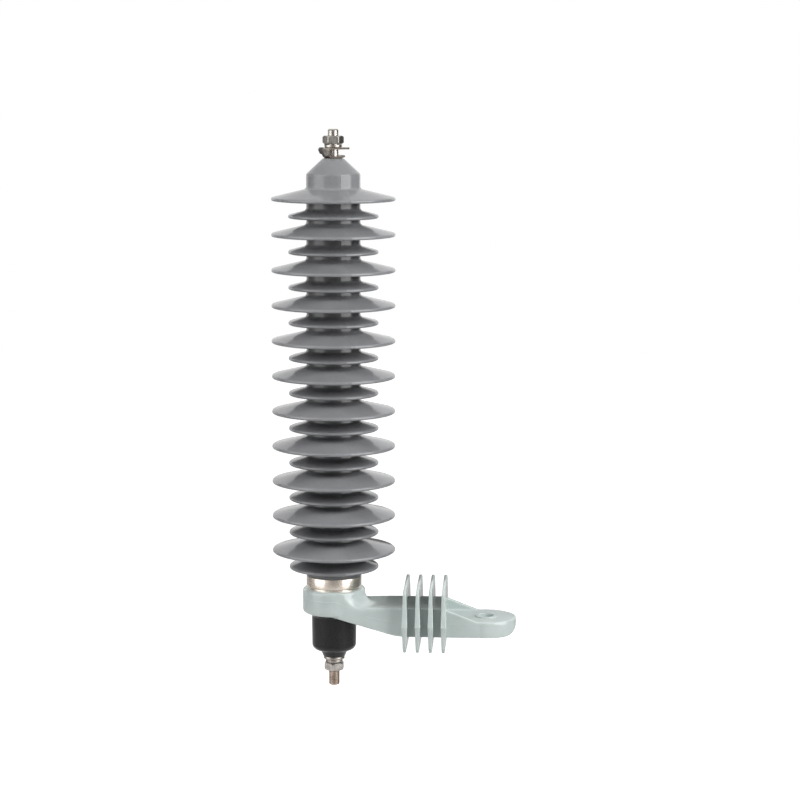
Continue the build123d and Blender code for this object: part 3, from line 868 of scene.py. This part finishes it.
class ARRESTER_OT_line_terminal(bpy.types.Operator):
    """Build the line terminal: stud, folded wire clamp, spring washer and nut"""

    bl_idname = "arrester.line_terminal"
    bl_label = "Line terminal"

    def execute(self, context):
        drawn, sheet = drawn_steel(), sheet_steel()
        stud = threaded_rod("line_stud_threaded", LINE_STUD[LOW].z, LINE_STUD[HIGH].z)
        smooth(stud, degrees=25)
        finish_piece(stud, drawn, "stainless_steel", "line_stud")
        nut = hexagon_nut("line_nut_hexagon", LINE_NUT, LINE_NUT_TURN)
        finish_piece(nut, drawn, "stainless_steel", "line_nut")
        washer = split_washer("line_washer_split", LINE_WASHER, LINE_WASHER_TURN)
        finish_piece(washer, sheet, "stainless_steel", "line_spring_washer")
        clamp = folded_clamp()
        finish_piece(clamp, sheet, "stainless_steel", "line_wire_clamp")
        # the dark finish paints shade on the cut edges and on the web's far back
        mark_sheared_and_shaded_faces(clamp, sheared_steel_and_shade())
        return {"FINISHED"}


class ARRESTER_OT_ground_terminal(bpy.types.Operator):
    """Build the ground terminal: stud with its head, flat washer, spring washer and nut"""

    bl_idname = "arrester.ground_terminal"
    bl_label = "Ground terminal"

    def execute(self, context):
        drawn, sheet = drawn_steel(), sheet_steel()
        low, high, reach = GROUND_STUD[LOW].z, GROUND_STUD[HIGH].z, radius(GROUND_STUD)
        stud, head = threaded_rod("ground_stud_threaded", low, high - ROD_IN_HEAD), high - HEAD_HEIGHT
        boolean(stud, lathe("head", [(0, head), (reach, head), (reach, high), (0, high)],
                [(reach, head, 0.5 * MM), (reach, high, 0.5 * MM)]), "UNION")
        clean(stud)
        smooth(stud, degrees=25)
        finish_piece(stud, plain_steel(), "stainless_steel", "ground_stud")
        nut = hexagon_nut("ground_nut_hexagon", GROUND_NUT, GROUND_NUT_TURN)
        finish_piece(nut, drawn, "stainless_steel", "ground_nut")
        washer = split_washer("ground_washer_split", GROUND_WASHER, GROUND_WASHER_TURN)
        finish_piece(washer, sheet, "stainless_steel", "ground_spring_washer")
        low, high, reach = GROUND_FLAT[LOW].z, GROUND_FLAT[HIGH].z, radius(GROUND_FLAT)
        flat = lathe("ground_washer_flat", [(CLEARANCE_HOLE, low), (reach, low), (reach, high),
                     (CLEARANCE_HOLE, high)],
                     [(reach, low, 0.5 * MM), (reach, high, 0.3 * MM), (CLEARANCE_HOLE, low, 0.3 * MM)])
        smooth(flat, degrees=35)
        finish_piece(flat, sheet, "stainless_steel", "ground_flat_washer")
        return {"FINISHED"}


# ---- disconnector ----------------------------------------------------------------------
RIM_PROUD, RIM_HEIGHT = 0.9 * MM, 3.2 * MM
CUP_DRAFT, CUP_WALL, CUP_FLOOR = 0.3 * MM, 2.55 * MM, 4.6 * MM
CUP_CORNER, CUP_SLOPE = 3.8 * MM, 2.4 * MM      # run of the foot's round, and rise of the foot
OUTLET_HEIGHT, OUTLET_ROOT, OUTLET_TIP = 5.5 * MM, 12.4 * MM, 10.2 * MM
CUP_ROUND = 112


class ARRESTER_OT_disconnector(bpy.types.Operator):
    """Spin the disconnector's cup with its rim, rounded foot and tapered outlet"""

    bl_idname = "arrester.disconnector"
    bl_label = "Disconnector"

    def execute(self, context):
        low, high, rim = COVER[LOW].z, COVER[HIGH].z, radius(COVER)
        body, foot, rim_foot = rim - RIM_PROUD, low + OUTLET_HEIGHT, high - RIM_HEIGHT
        drafted, inside = body - CUP_DRAFT, body - CUP_DRAFT - CUP_WALL
        floor = foot + CUP_FLOOR
        edge, ledge = foot + CUP_SLOPE, rim_foot + RIM_PROUD
        points = [(CLEARANCE_HOLE, low), (OUTLET_TIP, low), (OUTLET_ROOT, foot), (drafted, edge),
                  (body, rim_foot), (rim, ledge), (rim, high), (inside, high), (inside, floor),
                  (CLEARANCE_HOLE, floor)]
        corners = [(OUTLET_TIP, low, 0.6 * MM), (OUTLET_ROOT, foot, 0.7 * MM), (drafted, edge, CUP_CORNER),
                   (body, rim_foot, 0.5 * MM), (rim, ledge, 0.4 * MM), (rim, high, 0.5 * MM)]
        piece = lathe("disconnector_cup_moulded", points, corners, CUP_ROUND)
        smooth(piece, degrees=35)
        finish_piece(piece, black_moulding(), "black_plastic", "disconnector_cover")
        return {"FINISHED"}


# ---- sealed inner pieces ---------------------------------------------------------------
class ARRESTER_OT_inner(bpy.types.Operator):
    """Give the sealed inner pieces their finish"""

    bl_idname = "arrester.inner"
    bl_label = "Inner pieces"

    def execute(self, context):
        aluminium, brass, oxide = turned_aluminium(), turned_brass(), sintered_oxide()
        finishes = {
            # the top electrode is darkened so that its rim under the clamp's foot reads dark
            "top_electrode": dark_dull_aluminium(), "lower_contact_plate": aluminium,
            "upper_contact_plate": aluminium, "stack_springs": sheet_steel(), "base_stud": drawn_steel(),
            "glass_fibre_tube": wound_fibre(), "disconnector_lid": black_moulding(),
            "disconnector_insert": brass, "cartridge": brass, "grading_resistor": fired_ceramic(),
        }
        for name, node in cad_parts.items():
            finish = oxide if name.startswith("varistor") else finishes.get(name)
            if finish:
                node.data.materials.clear()
                node.data.materials.append(finish)
        return {"FINISHED"}


# ---- stage -----------------------------------------------------------------------------
MIDDLE = Vector((AXIS_X, 0, 0.2))
UNDER_ARM, UNDER_PAD = Vector((-0.092, 0, 0.045)), Vector((-0.002, 0, 0.045))
# Azimuths are in degrees round a target: 0 is on the camera's side, positive to its right.
# Soft boxes: azimuth, elevation, distance, width, height, watts, and the rays they are kept from.
# Reflections show two tall boxes; matt surfaces are lit by two lower ones in their place.
SOFT_BOXES = {
    "softbox_left": (-59, 18, 1.5, 1.3, 2.2, 21, "visible_diffuse"),
    "softbox_right": (62, 20, 1.5, 1.2, 2.2, 35, "visible_diffuse"),
    "key_left": (-59, 27, 1.5, 1.0, 0.7, 16.5, "visible_glossy"),
    "key_right": (62, 27, 1.5, 1.0, 0.7, 26, "visible_glossy"),
    "softbox_back_left": (-150, 20, 1.7, 1.2, 2.2, 14, "visible_glossy"),
    "softbox_back_right": (150, 20, 1.7, 1.2, 2.2, 14, "visible_glossy"),
    "softbox_top": (0, 50, 1.6, 1.4, 1.4, 4, "visible_glossy"),
}
# Cards: target, azimuth, distance, width, height and brightness, where white is 1. The last
# two stand low behind the bracket, so that its level top doesn't mirror the white surroundings.
CARDS = {
    "card_left": (MIDDLE, -114, 1.8, 0.9, 2.4, 0.35),
    "card_right": (MIDDLE, 116, 1.8, 2.0, 2.4, 0.13),
    "card_front": (MIDDLE, 4, 2.7, 2.0, 2.4, 0.46),
    "card_arm": (UNDER_ARM, 180, 0.25, 0.09, 0.095, 0.03),
    "card_pad": (UNDER_PAD, 180, 0.25, 0.09, 0.095, 0.4),
}
FLOOR_SIZE, FLOOR_LEVEL = 14, -0.6
WHITE = 1.0                 # strength at which the surroundings read as white
FLOOR_MIRRORED = 0.3        # strength of the floor in reflections
WORLD_LIGHT = 0.15          # strength of the surroundings where they light matt surfaces


def around(target, azimuth, elevation, distance):
    """A place round the target."""
    a, e = radians(azimuth), radians(elevation)
    return target + distance * Vector((sin(a) * cos(e), -cos(a) * cos(e), sin(e)))


def facing(place, target):
    """Turns a lamp or a card at a place towards its target."""
    return (target - place).to_track_quat("-Z", "Y").to_euler()


class ARRESTER_OT_stage(bpy.types.Operator):
    """Set the floor, the surroundings, the soft boxes, the grey cards and the camera"""

    bl_idname = "arrester.stage"
    bl_label = "Stage"

    def execute(self, context):
        scene = context.scene
        scene.view_settings.view_transform = "Standard"
        deselect()
        bpy.ops.mesh.primitive_plane_add(size=FLOOR_SIZE, location=(0, 0, FLOOR_LEVEL))
        floor = context.object
        floor.name = "studio_floor"
        floor.data.materials.append(self.white_paint())
        settle(floor)
        self.surroundings(scene)
        for name, settings in SOFT_BOXES.items():
            self.softbox(scene, name, *settings)
        for name, settings in CARDS.items():
            self.card(name, *settings)
        self.camera(scene)
        return {"FINISHED"}

    def seen(self, tree):
        """1 for rays of the camera, of reflections and through glass, else 0."""
        path = add(tree, "ShaderNodeLightPath")
        first = add(tree, "ShaderNodeMath", {"operation": "MAXIMUM"},
                    {0: path.outputs["Is Camera Ray"], 1: path.outputs["Is Transmission Ray"]})
        return add(tree, "ShaderNodeMath", {"operation": "MAXIMUM"},
                   {0: first.outputs[0], 1: path.outputs["Is Glossy Ray"]}).outputs[0]

    def white_paint(self):
        """Matt white paint that reads as plain white, is dimmer in reflections, and keeps shadows."""
        material = bpy.data.materials.new("matt_white_paint")
        tree = blank_tree(material)
        paint = add(tree, "ShaderNodeBsdfDiffuse", {"Color": linear(looks().floor)})
        path = add(tree, "ShaderNodeLightPath")
        level = add(tree, "ShaderNodeMapRange", {"To Min": WHITE, "To Max": FLOOR_MIRRORED},
                    {"Value": path.outputs["Is Glossy Ray"]})
        glow = add(tree, "ShaderNodeEmission", links={"Strength": level.outputs[0]})
        lit = add(tree, "ShaderNodeAddShader", links={0: paint.outputs[0], 1: glow.outputs[0]})
        mixed = add(tree, "ShaderNodeMixShader",
                    links={0: self.seen(tree), 1: paint.outputs[0], 2: lit.outputs[0]})
        add(tree, "ShaderNodeOutputMaterial", links={"Surface": mixed.outputs[0]})
        return material

    def surroundings(self, scene):
        """White all round, at a lower level where it lights the object."""
        world = bpy.data.worlds.new("studio")
        scene.world = world
        tree = blank_tree(world)
        strength = add(tree, "ShaderNodeMapRange", {"To Min": WORLD_LIGHT, "To Max": WHITE},
                       {"Value": self.seen(tree)})
        back = add(tree, "ShaderNodeBackground", {"Color": (1, 1, 1, 1)}, {"Strength": strength.outputs[0]})
        add(tree, "ShaderNodeOutputWorld", links={"Surface": back.outputs[0]})

    def softbox(self, scene, name, azimuth, elevation, distance, width, height, power, kept_from):
        """A soft box that the camera doesn't see, and that one kind of ray passes by."""
        place = around(MIDDLE, azimuth, elevation, distance)
        data = bpy.data.lights.new(name, "AREA")
        data.shape, data.size, data.size_y, data.energy = "RECTANGLE", width, height, power
        lamp = bpy.data.objects.new(name, data)
        scene.collection.objects.link(lamp)
        lamp.location = place
        lamp.rotation_euler = facing(place, MIDDLE)
        lamp.visible_camera = False
        setattr(lamp, kept_from, False)

    def card(self, name, target, azimuth, distance, width, height, shine):
        """A card that reflections show at its own grey, and that sends no light to matt surfaces."""
        place = around(target, azimuth, 0, distance)
        deselect()
        bpy.ops.mesh.primitive_plane_add(size=1, location=place, rotation=facing(place, target))
        card = bpy.context.object
        card.name = name
        card.scale = (width, height, 1)
        material = bpy.data.materials.new(name)
        tree = blank_tree(material)
        path = add(tree, "ShaderNodeLightPath")
        level = add(tree, "ShaderNodeMath", {"operation": "MULTIPLY", 1: shine},
                    {0: path.outputs["Is Glossy Ray"]})
        glow = add(tree, "ShaderNodeEmission", links={"Strength": level.outputs[0]})
        add(tree, "ShaderNodeOutputMaterial", links={"Surface": glow.outputs[0]})
        card.data.materials.append(material)
        card.visible_camera = False
        card.visible_shadow = False
        settle(card)

    def camera(self, scene):
        """A long lens at the height of the line terminal, looking down a little."""
        turn, pitch, roll = radians(2.9), radians(8.104), radians(0.11)
        side, back, height = 61.0 * MM, 2113.1 * MM, 517.0 * MM
        place = Vector((AXIS_X + side * cos(turn) + back * sin(turn),
                        side * sin(turn) - back * cos(turn), height))
        data = bpy.data.cameras.new("camera")
        data.lens, data.sensor_width = 104.4, 36.0
        camera = bpy.data.objects.new("camera", data)
        scene.collection.objects.link(camera)
        aim = (Matrix.Rotation(turn, 4, "Z") @ Matrix.Rotation(pi / 2 - pitch, 4, "X")
               @ Matrix.Rotation(roll, 4, "Z"))
        camera.matrix_world = Matrix.Translation(place) @ aim
        scene.camera = camera


class ARRESTER_PT_panel(bpy.types.Panel):
    """The arrester's pieces, sizes and colours"""

    bl_label = "Arrester"
    bl_idname = "ARRESTER_PT_panel"
    bl_space_type = "VIEW_3D"
    bl_region_type = "UI"
    bl_category = "Arrester"

    def draw(self, context):
        for group in (context.scene.arrester_sizes, context.scene.arrester_looks):
            for key in group.__annotations__:
                self.layout.prop(group, key)
        for operator in OPERATORS:
            self.layout.operator(operator.bl_idname)


OPERATORS = (ARRESTER_OT_housing, ARRESTER_OT_bracket, ARRESTER_OT_base_electrode,
             ARRESTER_OT_line_terminal, ARRESTER_OT_ground_terminal, ARRESTER_OT_disconnector,
             ARRESTER_OT_inner, ARRESTER_OT_stage)
CLASSES = (ArresterSizes, ArresterLooks, *OPERATORS, ARRESTER_PT_panel)


def register():
    for cls in CLASSES:
        bpy.utils.register_class(cls)
    bpy.types.Scene.arrester_sizes = PointerProperty(type=ArresterSizes)
    bpy.types.Scene.arrester_looks = PointerProperty(type=ArresterLooks)


def unregister():
    del bpy.types.Scene.arrester_looks
    del bpy.types.Scene.arrester_sizes
    for cls in reversed(CLASSES):
        bpy.utils.unregister_class(cls)


def main():
    register()
    for operator in OPERATORS:
        group, name = operator.bl_idname.split(".")
        getattr(getattr(bpy.ops, group), name)()


if __name__ == "__main__":
    main()
